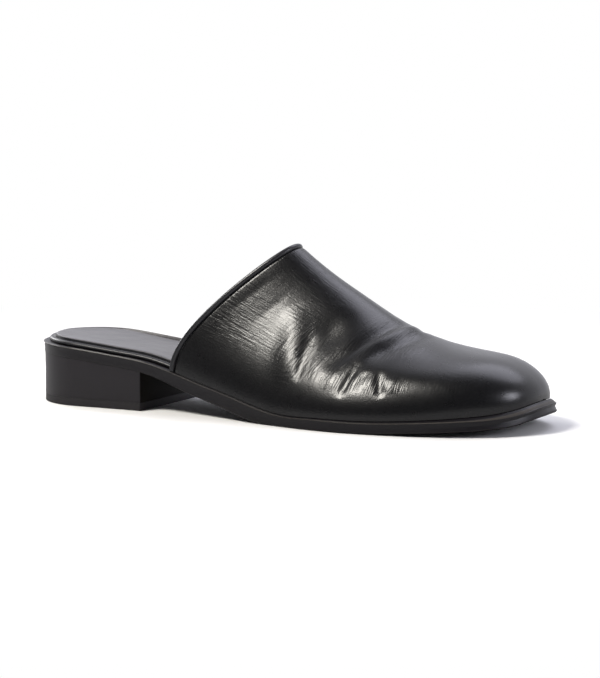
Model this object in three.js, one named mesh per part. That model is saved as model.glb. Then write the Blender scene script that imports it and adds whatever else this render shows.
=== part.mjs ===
// A low-heeled leather mule for the right foot: a closed toe, an open heel, a thin leather sole on a
// block heel. Millimetres, +X to the toe, +Y to the inner side of the foot, +Z up, standing on z = 0.
// The sizes are worked out with x = 0 at the back of the heel and y = 0 on the heel's middle line, and
// the finished shoe is then centred over the origin.
import * as THREE from 'three';

// Driving sizes.
const LENGTH = 265;
const BALL_WIDTH = 89;
const HEEL_LENGTH = 68;
const SEAT_HEIGHT = 30;
const INSTEP_HEIGHT = 80;
const SOLE_THICKNESS = 5.3;
const TOP_LIFT_THICKNESS = 3.8;
const INSOLE_THICKNESS = 2.8;
const WALL = 1.8;
const BINDING_WIDTH = 2.8;
const BINDING_THICKNESS = 3;
const FIT = 0.3;

// Ends of the plan outline: how far back each rounding starts, and its power (2 is a circle).
const HEEL_ROUND = { length: 31, power: 2 };
const TOE_ROUND_OUTER = { length: 44, power: 2.4 };
const TOE_ROUND_INNER = { length: 46, power: 2.4 };
const TOE_DROP = { length: 27, power: 2.5 };

// The sole seen from above. share: of LENGTH from the heel. centre and half: the middle line and the half
// width, of half of BALL_WIDTH, before the ends are rounded. ledge: how far the upper stands in, in mm.
const PLAN = [
  { share: 0.00, centre: 0.000, half: 0.695, ledge: 0.5 },
  { share: 0.12, centre: 0.000, half: 0.695, ledge: 0.5 },
  { share: 0.25, centre: -0.010, half: 0.675, ledge: 0.6 },
  { share: 0.35, centre: -0.055, half: 0.665, ledge: 0.8 },
  { share: 0.45, centre: -0.100, half: 0.710, ledge: 1.1 },
  { share: 0.55, centre: -0.110, half: 0.810, ledge: 1.5 },
  { share: 0.65, centre: -0.075, half: 0.940, ledge: 1.9 },
  { share: 0.72, centre: -0.020, half: 0.990, ledge: 2.1 },
  { share: 0.80, centre: 0.035, half: 0.970, ledge: 2.4 },
  { share: 0.90, centre: 0.095, half: 0.870, ledge: 3.1 },
  { share: 1.00, centre: 0.130, half: 0.760, ledge: 3.3 },
];

// The sole seen from the side. top: the face that the upper is lasted on to, of SEAT_HEIGHT.
// thick: of SOLE_THICKNESS. brow: how far the upper face slopes away down to its edge, in mm.
const SIDE = [
  { share: 0.00, top: 0.998, thick: 1.00, brow: 0.5 },
  { share: 0.11, top: 0.955, thick: 1.00, brow: 0.5 },
  { share: 0.20, top: 0.875, thick: 1.01, brow: 0.5 },
  { share: 0.26, top: 0.812, thick: 1.05, brow: 0.5 },
  { share: 0.32, top: 0.690, thick: 1.26, brow: 0.5 },
  { share: 0.38, top: 0.540, thick: 1.32, brow: 0.5 },
  { share: 0.44, top: 0.415, thick: 1.36, brow: 0.5 },
  { share: 0.50, top: 0.278, thick: 1.38, brow: 0.5 },
  { share: 0.56, top: 0.182, thick: 1.04, brow: 0.5 },
  { share: 0.63, top: 0.178, thick: 1.00, brow: 0.5 },
  { share: 0.70, top: 0.180, thick: 1.00, brow: 0.6 },
  { share: 0.80, top: 0.217, thick: 1.02, brow: 0.8 },
  { share: 0.90, top: 0.288, thick: 1.11, brow: 1.4 },
  { share: 0.95, top: 0.348, thick: 1.24, brow: 2.2 },
  { share: 0.98, top: 0.430, thick: 1.36, brow: 2.7 },
  { share: 1.00, top: 0.520, thick: 1.36, brow: 2.9 },
];
const TREAD = { from: 0.555, to: 0.705 };

// Sections of the last from the topline to the toe, each named by where its crown stands.
// crown: of LENGTH. height: of INSTEP_HEIGHT, above the floor. shift: the crown's place to the inner side,
// in mm. power: of the rounded section (2 is an ellipse). belly: how far the side swells out, in mm.
const SECTIONS = [
  { crown: 0.508, height: 1.005, shift: 5.0, power: 2.12, belly: 0.7 },
  { crown: 0.570, height: 0.853, shift: 5.5, power: 2.20, belly: 1.2 },
  { crown: 0.640, height: 0.711, shift: 6.0, power: 2.05, belly: 1.5 },
  { crown: 0.720, height: 0.560, shift: 6.5, power: 1.86, belly: 1.8 },
  { crown: 0.800, height: 0.461, shift: 7.0, power: 2.18, belly: 1.1 },
  { crown: 0.880, height: 0.420, shift: 7.0, power: 2.40, belly: 0.9 },
  { crown: 1.000, height: 0.362, shift: 5.8, power: 2.45, belly: 0.0 },
];
// The topline leans forward: its crown stands this far ahead of its feet, and the lean dies out at the ball.
const TOPLINE_LEAN = 48.8;
const UPRIGHT_FROM = 215;
const LEAN_POWER = 1.68;

// A curve with continuous curvature through a table's rows, from one column to another.
function smooth(rows, from, to) {
  const x = rows.map((row) => row[from]);
  const y = rows.map((row) => row[to]);
  const last = x.length - 1;
  const bend = new Array(last + 1).fill(0);
  const carried = new Array(last + 1).fill(0);
  for (let i = 1; i < last; i += 1) {
    const span = x[i + 1] - x[i - 1];
    const near = (x[i] - x[i - 1]) / span;
    const turn = (y[i + 1] - y[i]) / (x[i + 1] - x[i]) - (y[i] - y[i - 1]) / (x[i] - x[i - 1]);
    const pivot = near * bend[i - 1] + 2;
    bend[i] = (near - 1) / pivot;
    carried[i] = ((6 * turn) / span - near * carried[i - 1]) / pivot;
  }
  for (let i = last - 1; i >= 0; i -= 1) bend[i] = bend[i] * bend[i + 1] + carried[i];
  return (at) => {
    let i = 0;
    while (i < last - 1 && at > x[i + 1]) i += 1;
    const step = x[i + 1] - x[i];
    const b = (at - x[i]) / step;
    const a = 1 - b;
    const curve = (a ** 3 - a) * bend[i] + (b ** 3 - b) * bend[i + 1];
    return a * y[i] + b * y[i + 1] + (curve * step * step) / 6;
  };
}

// 0 at a rounded end, growing to 1 where the rounding starts.
function rounded(distance, length, power) {
  if (distance >= length) return 1;
  if (distance <= 0) return 0;
  return (1 - ((length - distance) / length) ** power) ** (1 / power);
}

const planCentre = smooth(PLAN, 'share', 'centre');
const planHalf = smooth(PLAN, 'share', 'half');
const planLedge = smooth(PLAN, 'share', 'ledge');
const sideTop = smooth(SIDE, 'share', 'top');
const sideThick = smooth(SIDE, 'share', 'thick');
const sideBrow = smooth(SIDE, 'share', 'brow');
const crownHeight = smooth(SECTIONS, 'crown', 'height');
const crownShift = smooth(SECTIONS, 'crown', 'shift');
const crownPower = smooth(SECTIONS, 'crown', 'power');
const crownBelly = smooth(SECTIONS, 'crown', 'belly');

const ledge = (x) => planLedge(x / LENGTH);
const upperTip = LENGTH - ledge(LENGTH);

// The outer (lateral) and inner (medial) edge of the sole's outline at x, moved in by inset.
function edges(x, inset = 0) {
  const half = (planHalf(x / LENGTH) * BALL_WIDTH) / 2 - inset;
  const middle = (planCentre(x / LENGTH) * BALL_WIDTH) / 2;
  const heel = rounded(x - inset, HEEL_ROUND.length - inset, HEEL_ROUND.power);
  const toe = (end) => rounded(LENGTH - inset - x, end.length - inset, end.power);
  return {
    lateral: middle - half * heel * toe(TOE_ROUND_OUTER),
    medial: middle + half * heel * toe(TOE_ROUND_INNER),
  };
}

// Heights of the sole's two faces.
function soleTop(x) {
  return sideTop(x / LENGTH) * SEAT_HEIGHT;
}
function soleBottom(x) {
  const share = x / LENGTH;
  if (share > TREAD.from && share < TREAD.to) return 0;
  return Math.max(0, soleTop(x) - sideThick(share) * SOLE_THICKNESS);
}

// Places along the shoe, crowded towards a rounded end.
function stations(from, to, step, heelLength, toeLength) {
  const list = [];
  const fine = 12;
  if (heelLength) {
    for (let i = 0; i < fine; i += 1) list.push(from + heelLength * (1 - Math.cos((Math.PI / 2) * (i / fine))));
  }
  const start = heelLength ? from + heelLength : from;
  const end = toeLength ? to - toeLength : to;
  const count = Math.round((end - start) / step);
  for (let i = 0; i <= count; i += 1) list.push(start + ((end - start) * i) / count);
  if (toeLength) {
    for (let i = 1; i <= fine; i += 1) list.push(end + toeLength * Math.sin((Math.PI / 2) * (i / fine)));
  }
  return list;
}

// A closed solid through rings of equally many points, each ring running clockwise about the way they go.
function loft(rings) {
  const count = rings[0].length;
  const index = [];
  for (let i = 0; i + 1 < rings.length; i += 1) {
    for (let j = 0; j < count; j += 1) {
      const k = (j + 1) % count;
      const [a, b, c, d] = [i * count + j, i * count + k, (i + 1) * count + k, (i + 1) * count + j];
      index.push(a, c, b, a, d, c);
    }
  }
  const last = (rings.length - 1) * count;
  for (let j = 1; j + 1 < count; j += 1) {
    index.push(0, j, j + 1);
    index.push(last, last + j + 1, last + j);
  }
  return solid(rings.flat(), index);
}

function solid(points, index) {
  const geometry = new THREE.BufferGeometry().setFromPoints(points);
  geometry.setIndex(index);
  geometry.computeVertexNormals();
  return geometry;
}

const point = (x, y, z) => new THREE.Vector3(x, y, z);

// A slab between two heights, its sides following the sole's outline moved in by inset(x). Its lower edges
// are broken by a bevel of bevel mm, its upper ones by a slope of brow.width by brow.drop.
function slab({ xs, inset, bottom, top, bevel, brow = () => ({ width: bevel, drop: bevel }) }) {
  const rings = xs.map((x) => {
    const full = edges(x, inset(x));
    const most = (full.medial - full.lateral) / 4;
    const cut = Math.min(bevel, most);
    const slope = brow(x);
    const width = Math.min(slope.width, most);
    const [low, high] = [bottom(x), top(x)];
    return [
      point(x, full.lateral, low + cut),
      point(x, full.lateral, high - slope.drop),
      point(x, full.lateral + width, high),
      point(x, full.medial - width, high),
      point(x, full.medial, high - slope.drop),
      point(x, full.medial, low + cut),
      point(x, full.medial - cut, low),
      point(x, full.lateral + cut, low),
    ];
  });
  return loft(rings);
}

const END_FACET = 0.05;

const BROW_WIDTH = 0.85;

function outsole() {
  return slab({
    xs: stations(END_FACET, LENGTH - END_FACET, 6, HEEL_ROUND.length, TOE_ROUND_OUTER.length),
    inset: () => 0,
    bottom: soleBottom,
    top: soleTop,
    bevel: 0.5,
    brow: (x) => ({ width: BROW_WIDTH * ledge(x), drop: sideBrow(x / LENGTH) }),
  });
}

const HEEL_STEP = 9;
const HEEL_SET_IN = 0.3;
const heelStations = () => stations(HEEL_SET_IN + END_FACET, HEEL_LENGTH, HEEL_STEP, HEEL_ROUND.length, 0);

function heelBlock() {
  return slab({
    xs: heelStations(),
    inset: () => HEEL_SET_IN,
    bottom: () => TOP_LIFT_THICKNESS + FIT,
    top: (x) => soleBottom(x) - FIT,
    bevel: 0.15,
  });
}

function topLift() {
  return slab({
    xs: heelStations(),
    inset: () => HEEL_SET_IN,
    bottom: () => 0,
    top: () => TOP_LIFT_THICKNESS,
    bevel: 0.3,
  });
}

const INSOLE_SIDE_GAP = (BINDING_THICKNESS - WALL) / 2 + FIT;
const INSOLE_HEEL_INSET = 2.3;
const VAMP_FOOT = SECTIONS[0].crown * LENGTH - TOPLINE_LEAN;
// The insole shows a wider rim at the heel and draws in between the walls of the upper.
function insoleInset(x) {
  const into = THREE.MathUtils.smoothstep(x, VAMP_FOOT - 40, VAMP_FOOT - 6);
  return THREE.MathUtils.lerp(INSOLE_HEEL_INSET, ledge(x) + WALL + INSOLE_SIDE_GAP, into);
}

function insole() {
  const [back, front] = [insoleInset(0) + END_FACET, LENGTH - insoleInset(LENGTH) - END_FACET];
  return slab({
    xs: stations(back, front, 8, HEEL_ROUND.length - back, TOE_ROUND_OUTER.length - 5),
    inset: insoleInset,
    bottom: (x) => soleTop(x) + FIT,
    top: (x) => soleTop(x) + FIT + INSOLE_THICKNESS,
    bevel: 1,
  });
}

// How far the feet of a section stand behind its crown.
function lean(crown) {
  const start = SECTIONS[0].crown * LENGTH;
  const along = THREE.MathUtils.clamp((crown - start) / (UPRIGHT_FROM - start), 0, 1);
  return (TOPLINE_LEAN * (1 + Math.cos(Math.PI * along))) / 2;
}

// A point of the upper's skin. crown: where the section's crown stands. turn: 0 at the outer foot, 1 at the
// inner foot. depth: how far inside the outer face.
function skin(crown, turn, depth = 0) {
  const share = crown / LENGTH;
  const foot = crown - lean(crown);
  const feet = edges(foot, ledge(foot) + depth);
  const middle = (feet.medial + feet.lateral) / 2;
  const half = (feet.medial - feet.lateral) / 2;
  const floor = soleTop(foot) + FIT;
  const drop = rounded(upperTip - depth - crown, TOE_DROP.length - depth, TOE_DROP.power);
  const rise = (crownHeight(share) * INSTEP_HEIGHT - depth * ridgeSlant(share) - floor) * drop;
  const power = crownPower(share);
  const angle = Math.PI * turn;
  const up = Math.sin(angle) ** (2 / power);
  const out = Math.sign(Math.cos(angle)) * Math.abs(Math.cos(angle)) ** (2 / power);
  const swell = 6.75 * up * (1 - up) ** 2 * crownBelly(share) * drop * Math.sign(out);
  const x = foot + lean(crown) * up ** LEAN_POWER;
  const bed = soleTop(x) + FIT;
  return point(
    x,
    middle + (crownShift(share) - middle) * up * drop - half * out - swell,
    bed + (floor + rise - bed) * up,
  );
}

// A wall of even thickness needs more height where the ridge runs down to the toe.
function ridgeSlant(share) {
  const step = 0.01;
  const slope = ((crownHeight(share + step) - crownHeight(share - step)) * INSTEP_HEIGHT) / (2 * step * LENGTH);
  return Math.hypot(1, slope);
}

const TURNS = 36;
const BINDING_GAP = BINDING_WIDTH / 2 + FIT;

// Crowns of the sections, from behind the binding to the toe.
function crowns(tip) {
  const start = SECTIONS[0].crown * LENGTH + BINDING_GAP;
  return stations(start, tip, 5, 0, TOE_DROP.length + 12);
}

// One face of the upper as rows of points, the last row closing on the tip.
function face(depth) {
  const tip = upperTip - depth;
  return crowns(tip).map((crown) =>
    Array.from({ length: TURNS + 1 }, (_, j) => skin(Math.min(crown, tip - 1e-4), j / TURNS, depth)));
}

function upper() {
  const outer = face(0);
  const inner = face(WALL);
  const rows = outer.length;
  const width = TURNS + 1;
  const points = [...outer.flat(), ...inner.flat()];
  const inside = rows * width;
  const at = (i, j) => i * width + j;
  const index = [];
  const quad = (a, b, c, d) => index.push(a, b, c, a, c, d);
  for (let i = 0; i + 1 < rows; i += 1) {
    for (let j = 0; j < TURNS; j += 1) {
      quad(at(i, j), at(i + 1, j), at(i + 1, j + 1), at(i, j + 1));
      quad(inside + at(i, j), inside + at(i, j + 1), inside + at(i + 1, j + 1), inside + at(i + 1, j));
    }
    quad(at(i, 0), inside + at(i, 0), inside + at(i + 1, 0), at(i + 1, 0));
    quad(at(i, TURNS), at(i + 1, TURNS), inside + at(i + 1, TURNS), inside + at(i, TURNS));
  }
  for (let j = 0; j < TURNS; j += 1) {
    quad(at(0, j), at(0, j + 1), inside + at(0, j + 1), inside + at(0, j));
    quad(at(rows - 1, j), inside + at(rows - 1, j), inside + at(rows - 1, j + 1), at(rows - 1, j + 1));
  }
  return solid(points, index);
}

// The folded leather strip round the topline, swept along the middle of the wall.
function binding() {
  const steps = 64;
  const sides = 10;
  const crown = SECTIONS[0].crown * LENGTH;
  const rings = [];
  for (let i = 0; i <= steps; i += 1) {
    const turn = i / steps;
    const nudge = 1e-3;
    const centre = skin(crown, turn, WALL / 2);
    const before = skin(crown, Math.max(0, turn - nudge), WALL / 2);
    const after = skin(crown, Math.min(1, turn + nudge), WALL / 2);
    const run = after.sub(before).normalize();
    const forward = skin(crown + 1, turn, WALL / 2).sub(centre);
    const across = forward.sub(run.clone().multiplyScalar(forward.dot(run))).normalize();
    const outward = across.clone().cross(run);
    const ring = [];
    for (let k = 0; k < sides; k += 1) {
      const angle = (2 * Math.PI * k) / sides;
      const place = centre.clone()
        .addScaledVector(across, (Math.cos(angle) * BINDING_WIDTH) / 2)
        .addScaledVector(outward, (Math.sin(angle) * BINDING_THICKNESS) / 2);
      // The strip's two ends are cut along the sole.
      if (i === 0 || i === steps) place.addScaledVector(run, (soleTop(place.x) + FIT - place.z) / run.z);
      ring.push(place);
    }
    rings.push(ring);
  }
  return loft(rings);
}

function piece(name, geometry, color, roughness) {
  const mesh = new THREE.Mesh(geometry, new THREE.MeshStandardMaterial({ color, roughness, metalness: 0 }));
  mesh.name = name;
  return mesh;
}

const pieces = new THREE.Group();
pieces.add(
  piece('outsole', outsole(), 0x2b292b, 0.55),
  piece('heel_block', heelBlock(), 0x2a282a, 0.5),
  piece('top_lift', topLift(), 0x201f20, 0.7),
  piece('insole', insole(), 0x3b3940, 0.6),
  piece('upper', upper(), 0x19191c, 0.35),
  piece('topline_binding', binding(), 0x222226, 0.4),
);

// Stand the shoe over the origin, centred on its own outline.
const middle = new THREE.Box3().setFromObject(pieces).getCenter(new THREE.Vector3());
pieces.position.set(-middle.x, -middle.y, 0);

const shoe = new THREE.Group();
shoe.add(pieces);

export default shoe;
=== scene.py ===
# %% [markdown]
# # A black leather mule
# A mule is a shoe with a closed toe and no back. This one has a vamp (the upper) of smooth black calf, a
# leather binding round its open edge, a padded insole, a thin leather sole and a low block heel with a
# rubber top lift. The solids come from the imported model, and every piece here is drawn around them.

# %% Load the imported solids
import math

import bpy
import numpy as np
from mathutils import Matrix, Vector


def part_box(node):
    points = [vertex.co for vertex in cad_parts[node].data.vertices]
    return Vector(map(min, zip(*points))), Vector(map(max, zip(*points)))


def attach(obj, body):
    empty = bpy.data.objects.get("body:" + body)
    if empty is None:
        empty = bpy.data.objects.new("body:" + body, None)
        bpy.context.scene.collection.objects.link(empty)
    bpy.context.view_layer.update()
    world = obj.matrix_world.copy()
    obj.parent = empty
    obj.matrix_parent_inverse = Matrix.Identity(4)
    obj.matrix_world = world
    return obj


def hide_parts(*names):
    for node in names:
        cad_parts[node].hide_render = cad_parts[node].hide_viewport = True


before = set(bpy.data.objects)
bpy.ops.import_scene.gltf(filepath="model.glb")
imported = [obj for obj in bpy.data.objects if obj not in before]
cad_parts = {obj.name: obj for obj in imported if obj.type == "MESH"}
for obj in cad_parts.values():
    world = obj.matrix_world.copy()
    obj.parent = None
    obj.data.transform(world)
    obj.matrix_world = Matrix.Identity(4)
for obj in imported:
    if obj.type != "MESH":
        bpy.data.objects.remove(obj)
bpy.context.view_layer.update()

print("solids:", sorted(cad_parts))

# %% [markdown]
# ## The last
# A shoemaker builds a shoe on a last, a form with the outline, side view and cross-sections of the foot it
# is for. The same few tables that shape the solids are written out here in millimetres, so the finished
# surfaces lie exactly on them. x runs from the back of the heel to the toe, y from the outer side to the
# inner side, and z up from the floor.

# %% Sizes of the last, in millimetres
LENGTH = 265.0
BALL_WIDTH = 89.0
HEEL_LENGTH = 68.0
SEAT_HEIGHT = 30.0
INSTEP_HEIGHT = 80.0
SOLE_THICKNESS = 5.3
TOP_LIFT_THICKNESS = 3.8
WALL = 1.8
BINDING_WIDTH = 2.8
BINDING_THICKNESS = 3.0
FIT = 0.3
HEEL_ROUND = 31.0
TOE_ROUND_OUTER = 44.0
TOE_ROUND_INNER = 46.0
TOE_SQUARENESS = 2.4
UPPER_TOE_ROUND = 27.0
UPPER_TOE_SQUARENESS = 2.5

# share of the length: middle line and half width (of half the ball width), step from sole edge to upper
PLAN = [
    (0.00, 0.000, 0.695, 0.5),
    (0.12, 0.000, 0.695, 0.5),
    (0.25, -0.010, 0.675, 0.6),
    (0.35, -0.055, 0.665, 0.8),
    (0.45, -0.100, 0.710, 1.1),
    (0.55, -0.110, 0.810, 1.5),
    (0.65, -0.075, 0.940, 1.9),
    (0.72, -0.020, 0.990, 2.1),
    (0.80, 0.035, 0.970, 2.4),
    (0.90, 0.095, 0.870, 3.1),
    (1.00, 0.130, 0.760, 3.3),
]
# share of the length: top face (of the seat height), thickness (of the sole's), slope at the edge in mm
SIDE = [
    (0.00, 0.998, 1.00, 0.5),
    (0.11, 0.955, 1.00, 0.5),
    (0.20, 0.875, 1.01, 0.5),
    (0.26, 0.812, 1.05, 0.5),
    (0.32, 0.690, 1.26, 0.5),
    (0.38, 0.540, 1.32, 0.5),
    (0.44, 0.415, 1.36, 0.5),
    (0.50, 0.278, 1.38, 0.5),
    (0.56, 0.182, 1.04, 0.5),
    (0.63, 0.178, 1.00, 0.5),
    (0.70, 0.180, 1.00, 0.6),
    (0.80, 0.217, 1.02, 0.8),
    (0.90, 0.288, 1.11, 1.4),
    (0.95, 0.348, 1.24, 2.2),
    (0.98, 0.430, 1.36, 2.7),
    (1.00, 0.520, 1.36, 2.9),
]
# share of the length where the crown stands: its height, its shift inwards, squareness, swell of the side
SECTIONS = [
    (0.508, 1.005, 5.0, 2.12, 0.7),
    (0.570, 0.853, 5.5, 2.20, 1.2),
    (0.640, 0.711, 6.0, 2.05, 1.5),
    (0.720, 0.560, 6.5, 1.86, 1.8),
    (0.800, 0.461, 7.0, 2.18, 1.1),
    (0.880, 0.420, 7.0, 2.40, 0.9),
    (1.000, 0.362, 5.8, 2.45, 0.0),
]
BALL_FLAT_FROM = 0.555
BALL_FLAT_TO = 0.705
TOPLINE_LEAN = 48.8
UPRIGHT_FROM = 215.0
LEAN_POWER = 1.68
TOPLINE = SECTIONS[0][0] * LENGTH
print("the topline's crown stands", round(TOPLINE, 1), "mm from the heel")


# %% A smooth curve through a table
def smooth(table, column):
    """A curve with continuous curvature through one column of a table."""
    x = np.array([row[0] for row in table])
    y = np.array([row[column] for row in table])
    last = len(x) - 1
    bend = np.zeros(last + 1)
    carried = np.zeros(last + 1)
    for i in range(1, last):
        span = x[i + 1] - x[i - 1]
        near = (x[i] - x[i - 1]) / span
        turn = (y[i + 1] - y[i]) / (x[i + 1] - x[i]) - (y[i] - y[i - 1]) / (x[i] - x[i - 1])
        pivot = near * bend[i - 1] + 2
        bend[i] = (near - 1) / pivot
        carried[i] = (6 * turn / span - near * carried[i - 1]) / pivot
    for i in range(last - 1, -1, -1):
        bend[i] = bend[i] * bend[i + 1] + carried[i]

    def curve(at):
        at = np.asarray(at, float)
        i = np.clip(np.searchsorted(x, at) - 1, 0, last - 1)
        step = x[i + 1] - x[i]
        b = (at - x[i]) / step
        a = 1 - b
        lift = (a**3 - a) * bend[i] + (b**3 - b) * bend[i + 1]
        return a * y[i] + b * y[i + 1] + lift * step * step / 6

    return curve


plan_centre = smooth(PLAN, 1)
plan_half = smooth(PLAN, 2)
plan_ledge = smooth(PLAN, 3)
side_top = smooth(SIDE, 1)
side_thick = smooth(SIDE, 2)
side_brow = smooth(SIDE, 3)
crown_height = smooth(SECTIONS, 1)
crown_shift = smooth(SECTIONS, 2)
crown_power = smooth(SECTIONS, 3)
crown_belly = smooth(SECTIONS, 4)
print("half width at the ball:", round(float(plan_half(0.72)) * BALL_WIDTH / 2, 1), "mm")


# %% Soft steps
def soft_step(value):
    """0 below 0, 1 above 1, and an S-shaped curve between."""
    value = np.clip(value, 0, 1)
    return value * value * (3 - 2 * value)


def rising(value, start, end):
    """Grows softly from 0 at start to 1 at end."""
    return soft_step((value - start) / (end - start))


def falling(value, start, end):
    """Sinks softly from 1 at start to 0 at end."""
    return soft_step((end - value) / (end - start))


print("halfway up a soft step:", rising(1.0, 0.0, 2.0))


# %% Outline and faces of the sole
def rounded(distance, length, power):
    """0 at a rounded end, growing to 1 where the rounding starts. Power 2 is a circle."""
    back = np.clip((length - distance) / length, 0, 1)
    return (1 - back**power) ** (1 / power)


def edges(x, inset=0.0):
    """The outer and inner edge of the sole's outline at x, moved in by inset."""
    half = plan_half(x / LENGTH) * BALL_WIDTH / 2 - inset
    middle = plan_centre(x / LENGTH) * BALL_WIDTH / 2
    heel = rounded(x - inset, HEEL_ROUND - inset, 2)
    to_tip = LENGTH - inset - x
    outer = half * heel * rounded(to_tip, TOE_ROUND_OUTER - inset, TOE_SQUARENESS)
    inner = half * heel * rounded(to_tip, TOE_ROUND_INNER - inset, TOE_SQUARENESS)
    return middle - outer, middle + inner


def ledge(x):
    """How far the upper stands in from the sole's edge."""
    return plan_ledge(x / LENGTH)


def sole_top(x):
    return side_top(x / LENGTH) * SEAT_HEIGHT


def sole_bottom(x):
    share = np.asarray(x) / LENGTH
    lifted = np.maximum(0, sole_top(x) - side_thick(share) * SOLE_THICKNESS)
    on_floor = (share > BALL_FLAT_FROM) & (share < BALL_FLAT_TO)
    return np.where(on_floor, 0, lifted)


along_sole = np.linspace(0, LENGTH, 2000)
outer_edge, inner_edge = edges(along_sole)
print("width of the outline:", round(float(inner_edge.max() - outer_edge.min()), 1), "mm")


# %% The skin of the last
def lean(crown):
    """How far the feet of a section stand behind its crown."""
    along = np.clip((crown - TOPLINE) / (UPRIGHT_FROM - TOPLINE), 0, 1)
    return TOPLINE_LEAN * (1 + np.cos(np.pi * along)) / 2


def ridge_slant(share):
    """More height is needed for the same wall where the ridge runs down to the toe."""
    step = 0.01
    rise = (crown_height(share + step) - crown_height(share - step)) * INSTEP_HEIGHT
    return np.hypot(1, rise / (2 * step * LENGTH))


UPPER_TIP = LENGTH - float(ledge(LENGTH))


def skin(crown, turn, depth=0.0):
    """Points of the upper's skin: turn 0 is the outer foot of a section and 1 the inner foot."""
    crown, turn = np.broadcast_arrays(np.asarray(crown, float), np.asarray(turn, float))
    share = crown / LENGTH
    foot = crown - lean(crown)
    outer, inner = edges(foot, ledge(foot) + depth)
    middle = (inner + outer) / 2
    half = (inner - outer) / 2
    floor = sole_top(foot) + FIT
    drop = rounded(UPPER_TIP - depth - crown, UPPER_TOE_ROUND - depth, UPPER_TOE_SQUARENESS)
    rise = (crown_height(share) * INSTEP_HEIGHT - depth * ridge_slant(share) - floor) * drop
    power = crown_power(share)
    angle = np.pi * turn
    up = np.maximum(np.sin(angle), 0) ** (2 / power)
    out = np.sign(np.cos(angle)) * np.abs(np.cos(angle)) ** (2 / power)
    belly = up * (1 - up) ** 2 * 27 / 4  # 1 at a third of the height, 0 at the foot and the crown
    swell = belly * crown_belly(share) * drop * np.sign(out)
    x = foot + lean(crown) * up**LEAN_POWER
    bed = sole_top(x) + FIT
    y = middle + (crown_shift(share) - middle) * up * drop - half * out - swell
    return np.stack([x, y, bed + (floor + rise - bed) * up], axis=-1)


peak = skin(TOPLINE, np.linspace(0, 1, 101))[:, 2].max()
print("top of the throat:", round(float(peak), 1), "mm above the floor")

# %% [markdown]
# ## From the last to the scene
# The scene is in metres and shares its origin with the solids, while a shoemaker thinks in millimetres
# from the back of the heel. One function moves points from the last to the scene, and one turns points and
# faces into a mesh, so every piece below is a list of places on the last. Building meshes from points suits
# a shape that tables already give. Where no table does, sculpting or modifiers would be the way.

# %% From the last to metres in the shared frame
MM = 0.001
sole_low, sole_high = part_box("outsole")
shift_x = (sole_low.x + sole_high.x) / 2 / MM - LENGTH / 2
shift_y = (sole_low.y + sole_high.y) / 2 / MM - float(inner_edge.max() + outer_edge.min()) / 2


def place(points):
    """Points of the last in millimetres, as metres in the scene."""
    return (np.asarray(points, float) + (shift_x, shift_y, 0)) * MM


print("shift to the shared frame:", round(shift_x, 2), round(shift_y, 2), "mm")


# %% Turn points and faces into a piece
def make_piece(name, points, faces, stands_for, sharp_from=50):
    """A smooth-shaded mesh that rides on the shoe. Points are in the last's millimetres."""
    mesh = bpy.data.meshes.new(name)
    mesh.from_pydata(place(points).tolist(), [], [[int(i) for i in face] for face in faces])
    mesh.validate()
    mesh.shade_smooth()
    mesh.set_sharp_from_angle(angle=math.radians(sharp_from))
    piece = bpy.data.objects.new(name, mesh)
    bpy.context.scene.collection.objects.link(piece)
    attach(piece, "root")
    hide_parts(stands_for)
    triangles = sum(len(face) - 2 for face in faces)
    print(name, "has", triangles, "triangles")
    return piece


# %% [markdown]
# ## Colours and nodes
# Blender mixes light in linear numbers, while a colour picker shows sRGB, which is bent to suit the eye.
# One function turns an sRGB hex colour to linear, and one adds a shader node with its settings and links,
# so that each material below reads as a short recipe.


# %% Colour and node helpers
def linear(hex_colour):
    """An sRGB colour such as #1A1B1E as linear red, green, blue and alpha."""
    parts = [int(hex_colour[i : i + 2], 16) / 255 for i in (1, 3, 5)]
    bent = [c / 12.92 if c <= 0.04045 else ((c + 0.055) / 1.055) ** 2.4 for c in parts]
    return (*bent, 1.0)


def add_node(tree, kind, inputs=None, **settings):
    """Adds a node, sets its settings, and gives each named input a value or a link."""
    made = tree.nodes.new(kind)
    for name, value in settings.items():
        setattr(made, name, value)
    for name, value in (inputs or {}).items():
        if isinstance(value, bpy.types.NodeSocket):
            tree.links.new(value, made.inputs[name])
        else:
            made.inputs[name].default_value = value
    return made


def new_material(name):
    """A material with one Principled shader, and its tree."""
    material = bpy.data.materials.new(name)
    material.use_nodes = True
    tree = material.node_tree
    return material, tree, tree.nodes["Principled BSDF"]


def cells(size):
    """The pattern scale whose details are this many millimetres across."""
    return 1 / (size * MM)


print("black calf in linear light:", [round(c, 4) for c in linear("#1A1A1C")])
print("a 2 mm pattern has scale", round(cells(2.0)))

# %% [markdown]
# ## Polished calf
# The vamp is calf leather, drum-dyed black, then waxed and polished by hand. Its pores are finer than the
# eye can part from here, so what it shows is a soft gloss with a fine tooth. Where the leather was pulled
# over the last it has drawn lines that run from the topline towards the toe, and where the foot bends it
# has fine wrinkles across them. All of these are too small to model, so they are bumps: the bump node
# tilts the surface for the light without moving it. Three values stored on the mesh steer them: a
# coordinate that runs with the leather, how much each spot flexes, and how hard it was pulled.

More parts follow.
